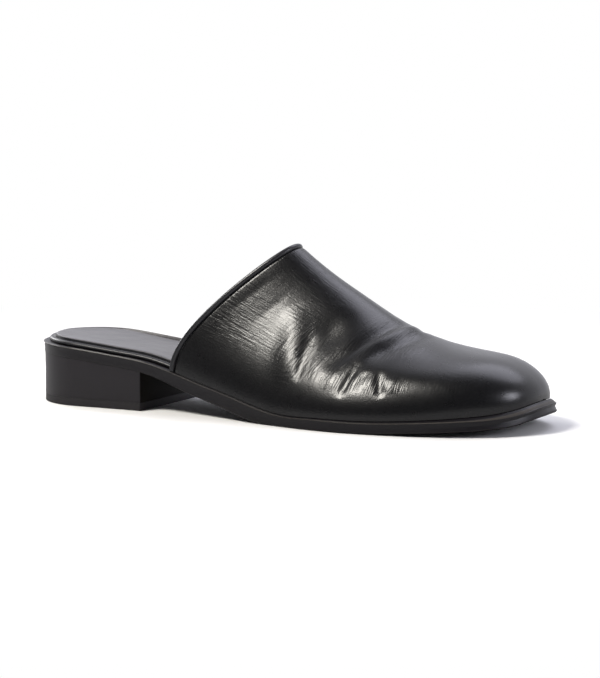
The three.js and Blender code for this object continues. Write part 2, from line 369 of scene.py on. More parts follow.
# %% Material: polished calf, its patterns
# Calf has a tight, even grain. The real pores are about 0.2 mm, and are drawn at 0.7 mm so that they show.
calf, tree, shader = new_material("polished_calf_black")
run = add_node(tree, "ShaderNodeAttribute", attribute_name="leather_run")
flex = add_node(tree, "ShaderNodeAttribute", attribute_name="flex")
body = add_node(tree, "ShaderNodeTexCoord")
DRAWN_LENGTH = 7.0
DRAWN_WIDTH = 1.05
CALF_GRAIN = 0.7
drawn_scale = add_node(
    tree,
    "ShaderNodeVectorMath",
    {0: run.outputs["Vector"], 1: (cells(DRAWN_LENGTH), cells(DRAWN_WIDTH), 1.0)},
    operation="MULTIPLY",
)
drawn_lines = add_node(
    tree,
    "ShaderNodeTexNoise",
    {"Vector": drawn_scale.outputs["Vector"], "Scale": 1.0, "Detail": 2.0, "Roughness": 0.6},
)
grain = add_node(
    tree,
    "ShaderNodeTexNoise",
    {"Vector": body.outputs["Object"], "Scale": cells(CALF_GRAIN), "Detail": 1.5, "Roughness": 0.6},
)
mottle = add_node(
    tree,
    "ShaderNodeTexNoise",
    {"Vector": body.outputs["Object"], "Scale": cells(3.8), "Detail": 4.0, "Roughness": 0.6},
)
print("grain", CALF_GRAIN, "mm, drawn lines", DRAWN_WIDTH, "mm apart")

# %% Material: polished calf, its fine wrinkles
# Thin sunk lines along each fold. The real ones are about 0.5 mm apart, and are drawn wider to show.
WRINKLE_WIDTH = 1.2
WRINKLE_LENGTH = 20.0
wrinkle_scale = add_node(
    tree,
    "ShaderNodeVectorMath",
    {0: run.outputs["Vector"], 1: (cells(WRINKLE_WIDTH), cells(WRINKLE_LENGTH), 1.0)},
    operation="MULTIPLY",
)
folds = add_node(
    tree,
    "ShaderNodeTexNoise",
    {"Vector": wrinkle_scale.outputs["Vector"], "Scale": 1.0, "Detail": 1.5, "Distortion": 0.35},
)
off_middle = add_node(
    tree,
    "ShaderNodeMath",
    {0: folds.outputs["Fac"], 1: 0.5},
    operation="SUBTRACT",
)
distance = add_node(
    tree,
    "ShaderNodeMath",
    {0: off_middle.outputs["Value"]},
    operation="ABSOLUTE",
)
fold_line = add_node(
    tree,
    "ShaderNodeMapRange",
    {"Value": distance.outputs["Value"], "From Max": 0.10, "To Min": -1.0, "To Max": 0.0},
    interpolation_type="SMOOTHSTEP",
)
wrinkle_height = add_node(
    tree,
    "ShaderNodeMath",
    {0: fold_line.outputs["Result"], 1: flex.outputs["Fac"]},
    operation="MULTIPLY",
)
print("fine wrinkles", WRINKLE_WIDTH, "mm apart")

# %% Material: polished calf, its colour, gloss and bumps
# Wax polish leaves a gloss that is soft at its edges and a little uneven, over a black that is not quite
# pure. The grain is firmer, and so shallower, on the toe than on the instep.
gloss = add_node(
    tree,
    "ShaderNodeMapRange",
    {"Value": mottle.outputs["Fac"], "From Min": 0.3, "From Max": 0.7, "To Min": 0.27, "To Max": 0.30},
)
dye = add_node(
    tree,
    "ShaderNodeMix",
    data_type="RGBA",
    inputs={"Factor": mottle.outputs["Fac"], 6: linear("#0D0D0F"), 7: linear("#121214")},
)
along = add_node(tree, "ShaderNodeSeparateXYZ", {"Vector": run.outputs["Vector"]})
loose_grain = add_node(
    tree,
    "ShaderNodeMapRange",
    {"Value": along.outputs["X"], "From Min": 0.185, "From Max": 0.220, "To Min": 0.85, "To Max": 0.30},
    interpolation_type="SMOOTHSTEP",
)
pulled = add_node(tree, "ShaderNodeAttribute", attribute_name="pulled")
grain_bump = add_node(
    tree,
    "ShaderNodeBump",
    {
        "Height": grain.outputs["Fac"],
        "Strength": loose_grain.outputs["Result"],
        "Distance": 0.07 * MM,
    },
)
drawn_bump = add_node(
    tree,
    "ShaderNodeBump",
    {
        "Height": drawn_lines.outputs["Fac"],
        "Strength": pulled.outputs["Fac"],
        "Distance": 0.15 * MM,
        "Normal": grain_bump.outputs["Normal"],
    },
)
wrinkle_bump = add_node(
    tree,
    "ShaderNodeBump",
    {
        "Height": wrinkle_height.outputs["Value"],
        "Strength": 0.6,
        "Distance": 0.09 * MM,
        "Normal": drawn_bump.outputs["Normal"],
    },
)
tree.links.new(dye.outputs[2], shader.inputs["Base Color"])
tree.links.new(gloss.outputs["Result"], shader.inputs["Roughness"])
tree.links.new(wrinkle_bump.outputs["Normal"], shader.inputs["Normal"])
shader.inputs["IOR"].default_value = 1.5
print("material:", calf.name)


# %% [markdown]
# ## Plain finishes
# Eight of the finishes below are one idea with other numbers: a noise of a real size mixes two close tones
# and dents the surface by a hair. They share one recipe, and each says what its own numbers give. A picture
# of leather could be wrapped round the pieces instead, but noise has no seams, no fixed sharpness, and a
# size that can be stated in millimetres. It is stretched where fibres or rubbing marks run one way. Real
# pores and stipple are 0.1 to 0.3 mm across, too fine to show from here, so they are drawn a few times
# coarser.

# %% The recipe of a plain finish
def plain_finish(name, size, tones, roughness, tooth=None, detail=4.0, crumble=0.6):
    """Size: mm across the noise in x, y and z. Tooth: strength and depth in mm of the dents."""
    material, tree, shader = new_material(name)
    body = add_node(tree, "ShaderNodeTexCoord")
    sized = add_node(
        tree,
        "ShaderNodeVectorMath",
        {0: body.outputs["Object"], 1: [cells(side) for side in size]},
        operation="MULTIPLY",
    )
    noise = add_node(
        tree,
        "ShaderNodeTexNoise",
        {"Vector": sized.outputs["Vector"], "Scale": 1.0, "Detail": detail, "Roughness": crumble},
    )
    shade = add_node(
        tree,
        "ShaderNodeMix",
        {"Factor": noise.outputs["Fac"], 6: linear(tones[0]), 7: linear(tones[1])},
        data_type="RGBA",
    )
    tree.links.new(shade.outputs[2], shader.inputs["Base Color"])
    if tooth:
        bump = add_node(
            tree,
            "ShaderNodeBump",
            {"Height": noise.outputs["Fac"], "Strength": tooth[0], "Distance": tooth[1] * MM},
        )
        tree.links.new(bump.outputs["Normal"], shader.inputs["Normal"])
    shader.inputs["Roughness"].default_value = roughness
    print("material:", name)
    return material, shader


# %% [markdown]
# ## Lining leather
# The vamp is lined with thin dyed sheepskin, glued flesh side to flesh side. It isn't polished, so it stays
# matt and a shade lighter than the calf. Its nap is what both clouds the colour and dents the surface.

# %% Material: lining leather
# Matt and slightly cloudy, so the inside of the shoe reads as soft.
lining, shader = plain_finish(
    "dyed_lining_leather",
    (1.4, 1.4, 1.4),
    ("#2A282C", "#3A383D"),
    roughness=0.62,
    tooth=(0.4, 0.1),
    crumble=0.65,
)

# %% [markdown]
# ## The vamp
# The vamp is one skin of leather pulled tight over the last. A subdivided box could be pushed towards
# that shape, but the tables already give every point of it, so it is built as a fine grid: rows from the
# topline to the toe and columns from the outer foot to the inner foot. The outside is twice as fine as
# the lining, because only the outside carries creases.

# %% Rows and columns of the vamp
COLUMNS = 260
SEAM_ROWS = [0.7, 0.95, 1.15, 1.35, 1.55, 1.8, 2.1, 2.5]  # mm past the topline
EVEN_FROM = 3.0  # mm past the topline
EVEN_ROWS = 150
TOE_REACH = 39.0
TOE_ROWS = 110
SPARE_ROW = 12
TIP_CLEARANCE = 1e-3  # keeps the last row off the tip, where a section has no width


def crowns(tip):
    """Where the rows stand: close together at the binding's seam, even, then closing on the toe."""
    seam = TOPLINE + np.array(SEAM_ROWS)
    even = np.linspace(TOPLINE + EVEN_FROM, UPPER_TIP - TOE_REACH, EVEN_ROWS)
    angle = np.linspace(0, np.pi / 2, TOE_ROWS + 1)[1:]
    toe = UPPER_TIP - TOE_REACH + TOE_REACH * np.sin(angle)
    rows = np.concatenate([seam, even, toe])
    squeeze = np.clip((rows - UPPER_TIP + TOE_REACH) / TOE_REACH, 0, 1)
    return rows - (UPPER_TIP - tip) * squeeze


# With an odd number of rows, every second one meets a row of the lining.
fine_rows = np.delete(crowns(UPPER_TIP), SPARE_ROW)
fine_rows = np.minimum(fine_rows, UPPER_TIP - TIP_CLEARANCE)
fine_turns = np.linspace(0, 1, COLUMNS + 1)
outside = skin(fine_rows[:, None], fine_turns[None, :])
print("vamp grid:", outside.shape[:2], "points")

# %% Which way the skin faces
def facing(grid):
    """Unit normals of a grid of points, outwards."""
    down = np.gradient(grid, axis=0)
    across = np.gradient(grid, axis=1)
    normal = np.cross(down, across)
    size = np.linalg.norm(normal, axis=-1, keepdims=True)
    return normal / np.maximum(size, 1e-9)


outward = facing(outside)
middle_column = outward[len(fine_rows) // 3, COLUMNS // 2]
print("the ridge faces", [round(float(v), 2) for v in middle_column])

# %% [markdown]
# ## Creases
# Leather that is walked in folds at the ball: soft rolls with troughs between them, which start on the
# ridge and die out down the sides, and a few sharp short wrinkles where they end. Each one here is a row
# of the table below: a path over the skin, how wide and how high it is (below zero is a trough), and how
# much of its length fades at each end. A sculpted map could do this too, but a table keeps every crease
# at a place and size that can be read and changed.

# %% The crease table
# (width mm, height mm, fading share, path as (crown mm from the heel, turn from outer to inner foot))
CREASES = [
    # soft waves beside the topline, outer side
    (2.4, -0.10, 0.40, [(141.6, 0.36), (141.8, 0.29), (141.8, 0.22), (141.6, 0.15)]),
    (2.2, -0.10, 0.40, [(150.4, 0.34), (151, 0.28), (151.6, 0.22), (152.4, 0.16)]),
    # the roll that stands in front of the deepest trough, and the trough
    (6.5, 1.15, 0.40, [(156, 0.30), (160, 0.27), (165, 0.22), (168.6, 0.17), (172.2, 0.12), (175, 0.08)]),
    (7.5, -1.35, 0.50, [(167, 0.37), (172, 0.32), (175, 0.27), (176.6, 0.21), (177, 0.14)]),
    (3.2, -0.50, 0.30, [(168.4, 0.27), (171, 0.225), (173.8, 0.18), (175.7, 0.14), (176.6, 0.10)]),
    # the side stays upright below a long swell that leads to the toe
    (8.5, 0.95, 0.35, [(184, 0.22), (192, 0.20), (200, 0.195), (210, 0.19), (228, 0.185), (252, 0.17)]),
    (1.4, -0.22, 0.35, [(169.4, 0.225), (172.8, 0.18), (175.4, 0.13), (176.4, 0.10)]),
    (1.2, -0.16, 0.40, [(172.6, 0.235), (176, 0.185), (178.2, 0.14), (179, 0.11)]),
    # fine pair of lines across the bright patch
    (0.9, -0.10, 0.40, [(164, 0.235), (164.6, 0.20), (165, 0.165), (165.2, 0.12)]),
    (0.9, -0.10, 0.40, [(166.2, 0.25), (167, 0.20), (167.4, 0.155), (167.6, 0.11)]),
    # the two long rolls that cross the ridge
    (3.6, -0.85, 0.30, [(182, 0.15), (183, 0.20), (185.4, 0.27), (187.6, 0.35), (189.4, 0.44), (190, 0.56)]),
    (1.0, -0.20, 0.35, [(184, 0.165), (185.2, 0.222), (186.8, 0.287), (189.2, 0.359), (190.6, 0.453)]),
    (3.0, 0.95, 0.30, [(188, 0.21), (190, 0.29), (192, 0.365), (193.8, 0.44), (194.8, 0.53), (195.4, 0.62)]),
    (4.2, -1.15, 0.30, [(192, 0.21), (194.4, 0.28), (197, 0.335), (199.4, 0.385), (201, 0.45), (203, 0.56)]),
    # short wrinkles low on the outer side
    (2.2, -0.75, 0.35, [(190.8, 0.24), (190.8, 0.18), (190.4, 0.13), (189.8, 0.08)]),
    (2.6, 0.25, 0.35, [(186.4, 0.19), (185.8, 0.15), (185.2, 0.10)]),
    (1.5, -0.36, 0.35, [(195.4, 0.20), (194.6, 0.16), (193.8, 0.11)]),
    (2.0, -0.70, 0.35, [(198.8, 0.22), (200.4, 0.17), (201.8, 0.13), (202.6, 0.09)]),
    (2.4, 0.20, 0.35, [(205, 0.20), (205.6, 0.155), (206, 0.11)]),
    # inner side
    (1.6, 0.28, 0.35, [(154.8, 0.73), (153.8, 0.695), (153.5, 0.66), (153.8, 0.60), (156, 0.56)]),
    (1.8, -0.30, 0.35, [(157, 0.74), (156.2, 0.69), (156.2, 0.64), (157.4, 0.59)]),
    (2.2, -0.50, 0.30, [(171, 0.80), (170.2, 0.74), (169.4, 0.70), (169.6, 0.66), (171, 0.62), (175, 0.57)]),
    (2.4, 0.35, 0.35, [(174.4, 0.76), (173.4, 0.70), (174, 0.65), (176.6, 0.60)]),
    (2.0, -0.35, 0.35, [(180.6, 0.72), (180.4, 0.667), (181.6, 0.613), (184, 0.545)]),
    (1.6, -0.45, 0.30, [(185.2, 0.82), (185.2, 0.755), (186, 0.707), (187.4, 0.643), (188.6, 0.56)]),
    (2.2, -0.50, 0.30, [(194.6, 0.72), (195.6, 0.658), (196.5, 0.583), (197, 0.50)]),
    (1.0, -0.25, 0.40, [(201.6, 0.73), (201.6, 0.647), (200.6, 0.56)]),
    (1.2, -0.40, 0.30, [(193, 0.86), (194.4, 0.803), (195.4, 0.748)]),
    (1.8, 0.35, 0.35, [(195.6, 0.84), (197.2, 0.79), (198, 0.75)]),
    (2.6, -0.30, 0.40, [(212, 0.73), (210.2, 0.66), (207.2, 0.57)]),
]
print(len(CREASES), "creases, the deepest", min(row[1] for row in CREASES), "mm")


# %% Press the creases into the skin
def crease_line(path, count=70):
    """Points along a crease and how far along it each one is, from 0 to 1."""
    knots = np.linspace(0, 1, len(path))
    table = [(knot, crown, turn) for knot, (crown, turn) in zip(knots, path)]
    share = np.linspace(0, 1, count)
    return skin(smooth(table, 1)(share), smooth(table, 2)(share)), share


BROAD_FOLD = 7.0  # a fold this wide bends the leather too little to wrinkle it
lift = np.zeros(outside.shape[:2])
bent = np.zeros(outside.shape[:2])
for width, height, fading, path in CREASES:
    line, share = crease_line(path)
    reach = 5 * width + 4  # mm, further than the fold can be felt
    near = np.all((outside > line.min(0) - reach) & (outside < line.max(0) + reach), axis=-1)
    gaps = np.linalg.norm(outside[near][:, None, :] - line[None, :, :], axis=-1)
    closest = gaps.argmin(1)
    gap = gaps[np.arange(len(gaps)), closest]
    along = share[closest]
    fade = soft_step(along / fading) * soft_step((1 - along) / fading)
    lift[near] += height * np.exp(-((gap / width) ** 2)) * fade
    if width < BROAD_FOLD:
        wrinkled = 2 * width + 2  # fine wrinkles spread wider than the fold itself
        bent[near] += np.exp(-((gap / wrinkled) ** 2)) * fade
print("deepest trough", round(float(lift.min()), 2), "mm, highest roll", round(float(lift.max()), 2), "mm")

# %% [markdown]
# ## The seam beside the binding
# The binding is sewn along its front edge, and the thread pulls the vamp down in a narrow valley beside it,
# with the leather rising a little past it. At this size the valley throws the dark line that parts the two,
# so it is real depth in the mesh, and the rows of points stand close together there to carry it.

# %% Press the seam
SEAM_DEPTH = 1.0
SEAM_PLACE = 1.45
SEAM_HALF_WIDTH = 0.50
SWELL_HEIGHT = 0.06
SWELL_PLACE = 4.6
SWELL_HALF_WIDTH = 2.0
beside = fine_rows[:, None] - TOPLINE
valley = -SEAM_DEPTH * np.exp(-(((beside - SEAM_PLACE) / SEAM_HALF_WIDTH) ** 2))
swell = SWELL_HEIGHT * np.exp(-(((beside - SWELL_PLACE) / SWELL_HALF_WIDTH) ** 2))
lift = lift + valley + swell
worn = outside + outward * lift[..., None]
print("valley depth", round(float(-valley.min()), 2), "mm")

# %% Join the outside, the lining and the rims
coarse_rows = crowns(UPPER_TIP - WALL)
coarse_rows = np.interp(
    np.linspace(0, 1, len(fine_rows) // 2 + 1),
    np.linspace(0, 1, len(coarse_rows)),
    coarse_rows,
)
coarse_rows = np.minimum(coarse_rows, UPPER_TIP - WALL - TIP_CLEARANCE)
inside = skin(coarse_rows[:, None], fine_turns[None, ::2], WALL)
fine_index = np.arange(worn.shape[0] * worn.shape[1]).reshape(worn.shape[:2])
coarse_index = np.arange(inside.shape[0] * inside.shape[1]).reshape(inside.shape[:2]) + fine_index.size


def grid_faces(index):
    a = index[:-1, :-1]
    b = index[1:, :-1]
    c = index[1:, 1:]
    d = index[:-1, 1:]
    return np.stack([a, b, c, d], axis=-1).reshape(-1, 4).tolist()


def rim_faces(fine, coarse):
    """Faces that join a fine edge to one with half as many points."""
    return [
        [fine[2 * i], fine[2 * i + 1], fine[2 * i + 2], coarse[i + 1], coarse[i]]
        for i in range(len(coarse) - 1)
    ]


outer_faces = grid_faces(fine_index)
lining_faces = [face[::-1] for face in grid_faces(coarse_index)]
rims = rim_faces(fine_index[0], coarse_index[0])
rims += rim_faces(fine_index[:, -1], coarse_index[:, -1])
rims += [face[::-1] for face in rim_faces(fine_index[:, 0], coarse_index[:, 0])]
rims += [face[::-1] for face in rim_faces(fine_index[-1], coarse_index[-1])]
vamp = make_piece(
    "vamp",
    np.concatenate([worn.reshape(-1, 3), inside.reshape(-1, 3)]),
    outer_faces + lining_faces + rims,
    "upper",
)

# %% Give the vamp its two leathers and the values that steer them
vamp.data.materials.append(calf)
vamp.data.materials.append(lining)
leather_of_face = np.ones(len(vamp.data.polygons), np.int32)
leather_of_face[: len(outer_faces)] = 0
vamp.data.polygons.foreach_set("material_index", leather_of_face)


def store(piece, name, kind, key, values):
    """Stores one value or vector a point on the mesh, for the materials to read."""
    made = piece.data.attributes.new(name, kind, "POINT")
    made.data.foreach_set(key, np.asarray(values, np.float32).ravel())


GIRTH = 190.0  # mm over a section from foot to foot, which makes a turn a length
FLEX_FROM = 156.0
FLEX_FULL = 168.0
PULLED_FULL = 150.0
PULLED_TO = 182.0
run_outside = np.zeros(worn.shape)
run_outside[..., 0] = fine_rows[:, None] * MM
run_outside[..., 1] = fine_turns[None, :] * GIRTH * MM
run_inside = np.zeros(inside.shape)
leather_run = np.concatenate([run_outside.reshape(-1, 3), run_inside.reshape(-1, 3)])
store(vamp, "leather_run", "FLOAT_VECTOR", "vector", leather_run)
bending = np.clip(bent, 0, 1) * rising(fine_rows[:, None], FLEX_FROM, FLEX_FULL)
flex_values = np.concatenate([bending.ravel(), np.zeros(inside.size // 3)])
store(vamp, "flex", "FLOAT", "value", flex_values)
near_topline = falling(fine_rows[:, None], PULLED_FULL, PULLED_TO)
# the lines leave both feet of the vamp free, where the leather is turned under
up_the_side = rising(fine_turns[None, :], 0.08, 0.16) * falling(fine_turns[None, :], 0.84, 0.92)
pulled_values = np.concatenate([(near_topline * up_the_side).ravel(), np.zeros(inside.size // 3)])
store(vamp, "pulled", "FLOAT", "value", pulled_values)
print("share of the vamp that flexes:", round(float((bending > 0.3).mean()), 2))

# %% [markdown]
# ## Binding leather
# The same calf, skived thin and folded. Stretched over the edge it loses its grain and takes less polish,
# so it is a touch greyer and rougher than the vamp beside it. That small step in tone is what shows where
# one leather ends.

# %% Material: binding leather
# A satin black that catches one thin line of light along the bead.
binding_calf, shader = plain_finish(
    "folded_calf_binding",
    (1.1, 1.1, 1.1),
    ("#1D1D20", "#27272B"),
    roughness=0.32,
    tooth=(0.3, 0.03),
    detail=3.0,
)
shader.inputs["IOR"].default_value = 1.5

# %% [markdown]
# ## The binding
# A strip of thin calf is folded over the raw topline and sewn, which leaves a rounded bead. A curve with a
# bevel would do for a round cord, but this bead is wider than it is thick and must keep its broad side to
# the wall, so an oval is swept along the middle of the wall, and cut flat at each foot.

# %% Sweep the binding
BINDING_STEPS = 260
BINDING_SIDES = 22
turns = np.linspace(0, 1, BINDING_STEPS + 1)
nudge = 1e-3
centre_line = skin(TOPLINE, turns, WALL / 2)
ahead = skin(TOPLINE, np.minimum(turns + nudge, 1), WALL / 2)
before = skin(TOPLINE, np.maximum(turns - nudge, 0), WALL / 2)
along = ahead - before
along /= np.linalg.norm(along, axis=1, keepdims=True)
forward = skin(TOPLINE + 1, turns, WALL / 2) - centre_line
across = forward - along * np.sum(forward * along, axis=1, keepdims=True)
across /= np.linalg.norm(across, axis=1, keepdims=True)
outwards = np.cross(across, along)
angles = np.linspace(0, 2 * np.pi, BINDING_SIDES, endpoint=False)
hand_made = 1 + 0.008 * np.sin(turns * 61) + 0.006 * np.sin(turns * 143 + 1)  # never quite even
half_width = np.cos(angles)[None, :, None] * BINDING_WIDTH / 2
half_thick = np.sin(angles)[None, :, None] * BINDING_THICKNESS / 2 * hand_made[:, None, None]
bead = centre_line[:, None, :] + across[:, None, :] * half_width + outwards[:, None, :] * half_thick
for end in (0, -1):
    over = sole_top(bead[end][:, 0]) + FIT - bead[end][:, 2]
    bead[end] += along[end][None, :] * (over / along[end][2])[:, None]


def tube_faces(steps, sides):
    """Faces of a closed tube, ringed and capped."""
    faces = []
    for i in range(steps):
        for j in range(sides):
            k = (j + 1) % sides
            faces.append([i * sides + j, (i + 1) * sides + j, (i + 1) * sides + k, i * sides + k])
    faces.append(list(range(sides)))
    faces.append([steps * sides + j for j in range(sides)][::-1])
    return faces


binding = make_piece(
    "topline_binding_strip",
    bead.reshape(-1, 3),
    tube_faces(BINDING_STEPS, BINDING_SIDES),
    "topline_binding",
)
binding.data.materials.append(binding_calf)
print("binding stands", round(float(bead[..., 2].max()), 1), "mm above the floor")

# %% [markdown]
# ## Flat pieces as stacked outlines
# The insole, sole, heel and top lift all follow the sole's outline. Each is a stack of closed outlines,
# every one moved in by some inset and set at some height, with faces between neighbours and a cap at each
# end. That is how a bevel or a rolled edge is drawn: as a few more outlines close together.

# %% A closed outline, and a stack of them
OUTLINE_STEPS = 200
HEEL_STEPS = 80
TIP_GAP = 0.03  # mm between an outline's end and its first point, so that no two points fall together
BREAST_CORNER = 0.35


def whole_outline(inset):
    """Points round the whole sole, from the heel's back along the outer side. inset(x) in mm."""
    start = float(inset(0.0)) + TIP_GAP
    end = LENGTH - float(inset(LENGTH)) - TIP_GAP
    angle = np.linspace(0, np.pi, OUTLINE_STEPS + 1)
    x = start + (end - start) * (1 - np.cos(angle)) / 2
    outer, inner = edges(x, inset(x))
    there = np.stack([x, outer], axis=-1)
    back = np.stack([x, inner], axis=-1)[-2:0:-1]
    return np.concatenate([there, back])


def heel_outline(inset):
    """Points round the heel only, with a straight breast across the front."""
    start = float(inset(0.0)) + TIP_GAP
    end = HEEL_LENGTH - float(inset(0.0))
    angle = np.linspace(0, np.pi / 2, HEEL_STEPS)
    x = start + (end - start) * (1 - np.cos(angle))
    outer, inner = edges(x, inset(x))
    cut = np.zeros(len(x))
    cut[-1] = BREAST_CORNER
    x[-2] = end - BREAST_CORNER
    there = np.stack([x, outer + cut], axis=-1)
    back = np.stack([x, inner - cut], axis=-1)[:0:-1]
    return np.concatenate([there, back])


def stack_faces(rings, size):
    """Side faces between outlines, then a cap under the first and over the last."""
    faces = []
    for ring in range(rings - 1):
        for j in range(size):
            k = (j + 1) % size
            faces.append([ring * size + j, ring * size + k, (ring + 1) * size + k, (ring + 1) * size + j])
    front = size // 2
    for first, flip in ((0, True), ((rings - 1) * size, False)):
        for i in range(front):
            face = [i, i + 1, (size - i - 1) % size, (size - i) % size]
            face = [first + point for point in dict.fromkeys(face)]
            faces.append(face[::-1] if flip else face)
    return [face for face in faces if len(face) > 2]


ring = whole_outline(lambda x: 0.0 * x)
print("the sole's outline has", len(ring), "points")

# %% [markdown]
# ## Insole leathers
# The sock is soft dyed sheepskin. It shows a fine tooth and faint clouds where it was rubbed down over the
# board, and its nap brightens it when seen from low down, which the sheen of the shader gives. The rim is
# the same leather skived thin and rolled over the board's edge, so it is tighter, darker and glossier. Its
# dark colour is partly painted shade, for the insole's shaded side and the wall of its groove.

# %% Material: insole leather
# Soft and a little dusty: the lightest black of the shoe. Two noises, because the clouds that were rubbed
# into it are far larger than its tooth. The tooth is drawn at 1.9 mm, coarser than real, so that it shows.
sock_leather, tree, shader = new_material("smooth_sheep_insole_leather")
body = add_node(tree, "ShaderNodeTexCoord")
grain = add_node(
    tree,
    "ShaderNodeTexNoise",
    {"Vector": body.outputs["Object"], "Scale": cells(1.9), "Detail": 4.0, "Roughness": 0.65},
)
cloud = add_node(
    tree,
    "ShaderNodeTexNoise",
    {"Vector": body.outputs["Object"], "Scale": cells(11.0), "Detail": 4.0},
)
shade = add_node(
    tree,
    "ShaderNodeMix",
    {"Factor": cloud.outputs["Fac"], 6: linear("#343238"), 7: linear("#403E45")},
    data_type="RGBA",
)
tree.links.new(shade.outputs[2], shader.inputs["Base Color"])
soft_bump = add_node(
    tree,
    "ShaderNodeBump",
    {"Height": cloud.outputs["Fac"], "Strength": 0.6, "Distance": 0.9 * MM},
)
bump = add_node(
    tree,
    "ShaderNodeBump",
    {
        "Height": grain.outputs["Fac"],
        "Strength": 0.7,
        "Distance": 0.12 * MM,
        "Normal": soft_bump.outputs["Normal"],
    },
)
tree.links.new(bump.outputs["Normal"], shader.inputs["Normal"])
shader.inputs["Roughness"].default_value = 0.45
shader.inputs["IOR"].default_value = 1.5
shader.inputs["Sheen Weight"].default_value = 0.25
shader.inputs["Sheen Roughness"].default_value = 0.5
print("material:", sock_leather.name)

# %% Material: rolled rim of the insole
# Stretched leather, tight and dark, with a thin line of light on its roll. The dark tone is partly
# painted shade on the insole's side and in its groove.
rim_leather_and_shade, shader = plain_finish(
    "rolled_skived_leather_rim_and_shade",
    (1.25, 1.25, 1.25),
    ("#111115", "#1C1C22"),
    roughness=0.38,
    tooth=(0.3, 0.04),
    detail=3.0,
)

# %% [markdown]
# ## The insole
# The foot rests on a board wrapped in dark leather. Its edge is rolled and stands as a narrow rim, a
# pressed groove runs inside the rim, and the sock inside the groove is padded and dished a little under
# the arch. A bevel modifier could round the edge, but the groove and the dish need heights of their own,
# so the whole profile is a table from the board's edge inwards.

# %% Stack the insole
VAMP_FOOT = TOPLINE - TOPLINE_LEAN
INSOLE_SIDE_GAP = (BINDING_THICKNESS - WALL) / 2 + FIT
INSOLE_HEEL_INSET = 2.3
DRAW_IN_FROM = VAMP_FOOT - 40
DRAWN_IN = VAMP_FOOT - 6


def insole_inset(x):
    """The insole shows a wider rim at the heel, and draws in between the walls of the vamp."""
    between_walls = ledge(x) + WALL + INSOLE_SIDE_GAP
    into = rising(np.asarray(x, float), DRAW_IN_FROM, DRAWN_IN)
    return INSOLE_HEEL_INSET + (between_walls - INSOLE_HEEL_INSET) * into


# inset mm, height mm above the sole, share of the dish that it takes, share of the rim's rise
INSOLE_RINGS = [
    (1.10, 0.00, 0.0, 0.0),
    (0.40, 0.08, 0.0, 0.0),
    (0.05, 0.35, 0.0, 0.2),
    (0.00, 0.75, 0.0, 0.4),
    (0.06, 1.15, 0.0, 0.7),
    (0.28, 1.45, 0.0, 0.9),
    (0.70, 1.72, 0.0, 1.0),
    (1.25, 1.90, 0.0, 1.0),
    (1.75, 1.95, 0.0, 1.0),
    (2.10, 1.86, 0.2, 0.9),
    (2.60, 1.60, 0.5, 0.5),
    (3.00, 1.25, 0.8, 0.1),
    (3.16, 1.20, 0.9, 0.0),
    (3.22, 1.60, 0.95, 0.0),
    (3.26, 2.85, 1.0, 0.0),
    (3.36, 3.05, 1.0, 0.0),
    (3.70, 3.20, 1.0, 0.0),
    (4.40, 3.24, 1.0, 0.0),
    (6.00, 3.14, 1.0, 0.0),
    (9.00, 2.96, 1.0, 0.0),
    (13.0, 2.84, 1.0, 0.0),
    (18.0, 2.76, 1.0, 0.0),
    (23.0, 2.72, 1.0, 0.0),
]
RIM_RISE = 0.9
RIM_RINGS = 8
# rings of the groove's inner wall, which take the dark rim leather as painted shade in the groove
GROOVE_WALL_SHADE_RINGS = (11, 14)
SOCK_SINK = 0.3
ARCH_SINK = 1.4


def inner_share(x, y):
    """0 at the insole's outer edge, 1 at its inner edge."""
    outer, inner = edges(x, insole_inset(x))
    return np.clip((y - outer) / np.maximum(inner - outer, 1), 0, 1)


def dish(x, y):
    """How far the sock sinks: most under the arch, and towards the inner side."""
    arch = rising(x, 2, 62) * falling(x, 85, 125)
    inwards = soft_step(inner_share(x, y) * 1.1)
    return (SOCK_SINK + ARCH_SINK * arch) * inwards * falling(x, 105, 135)


insole_points = []
for inset, height, sunk, raised in INSOLE_RINGS:
    ring = whole_outline(lambda x: insole_inset(x) + inset)
    x, y = ring.T
    rise = RIM_RISE * raised * rising(inner_share(x, y), 0.25, 0.85)
    z = sole_top(x) + FIT + height + rise - dish(x, y) * sunk
    insole_points.append(np.column_stack([ring, z]))
insole = make_piece(
    "insole_with_sock",
    np.concatenate(insole_points),
    stack_faces(len(INSOLE_RINGS), 2 * OUTLINE_STEPS),
    "insole",
)
insole.data.materials.append(sock_leather)
insole.data.materials.append(rim_leather_and_shade)
leather_of_face = np.zeros(len(insole.data.polygons), np.int32)
# the rolled rim and the insole's side take the dark rim leather, partly as painted shade
leather_of_face[: RIM_RINGS * 2 * OUTLINE_STEPS] = 1
# painted shade: the groove's wall takes the dark rim leather, so the groove reads as a dark line
wall_from, wall_to = [ring * 2 * OUTLINE_STEPS for ring in GROOVE_WALL_SHADE_RINGS]
leather_of_face[wall_from:wall_to] = 1
insole.data.polygons.foreach_set("material_index", leather_of_face)

# %% [markdown]
# ## Sole leathers
# The sole is oak-bark tanned leather, and it shows three finishes. Its edge is inked black and ironed with
# wax, which leaves faint lines of fibre along it. Its brow, the sloped corner on top, is waxed but hardly
# inked, so it stays brown, and its lighter tone is also a painted highlight along that corner. Its
# underside is rolled and dyed, and dulled by the floor. Each finish has its own material, and the faces
# are given theirs when the sole is built.

# %% Material: sole leather edge
# Ironed ink has a low satin shine, and noise stretched along the edge is the fibre that still shows.
edge_ink, shader = plain_finish(
    "inked_sole_leather_edge",
    (3.8, 3.8, 0.7),
    ("#110F13", "#18161A"),
    roughness=0.40,
    tooth=(0.3, 0.1),
)
shader.inputs["IOR"].default_value = 1.42

# %% Material: raw brow of the sole
# A thin brown line between two blacks, too narrow for dents to show. Its lighter tone is partly a painted
# highlight along the brow.
brow_leather_and_highlight, shader = plain_finish(
    "waxed_raw_leather_brow_and_highlight",
    (2.0, 2.0, 2.0),
    ("#2B2723", "#3A352E"),
    roughness=0.5,
    crumble=0.7,
)

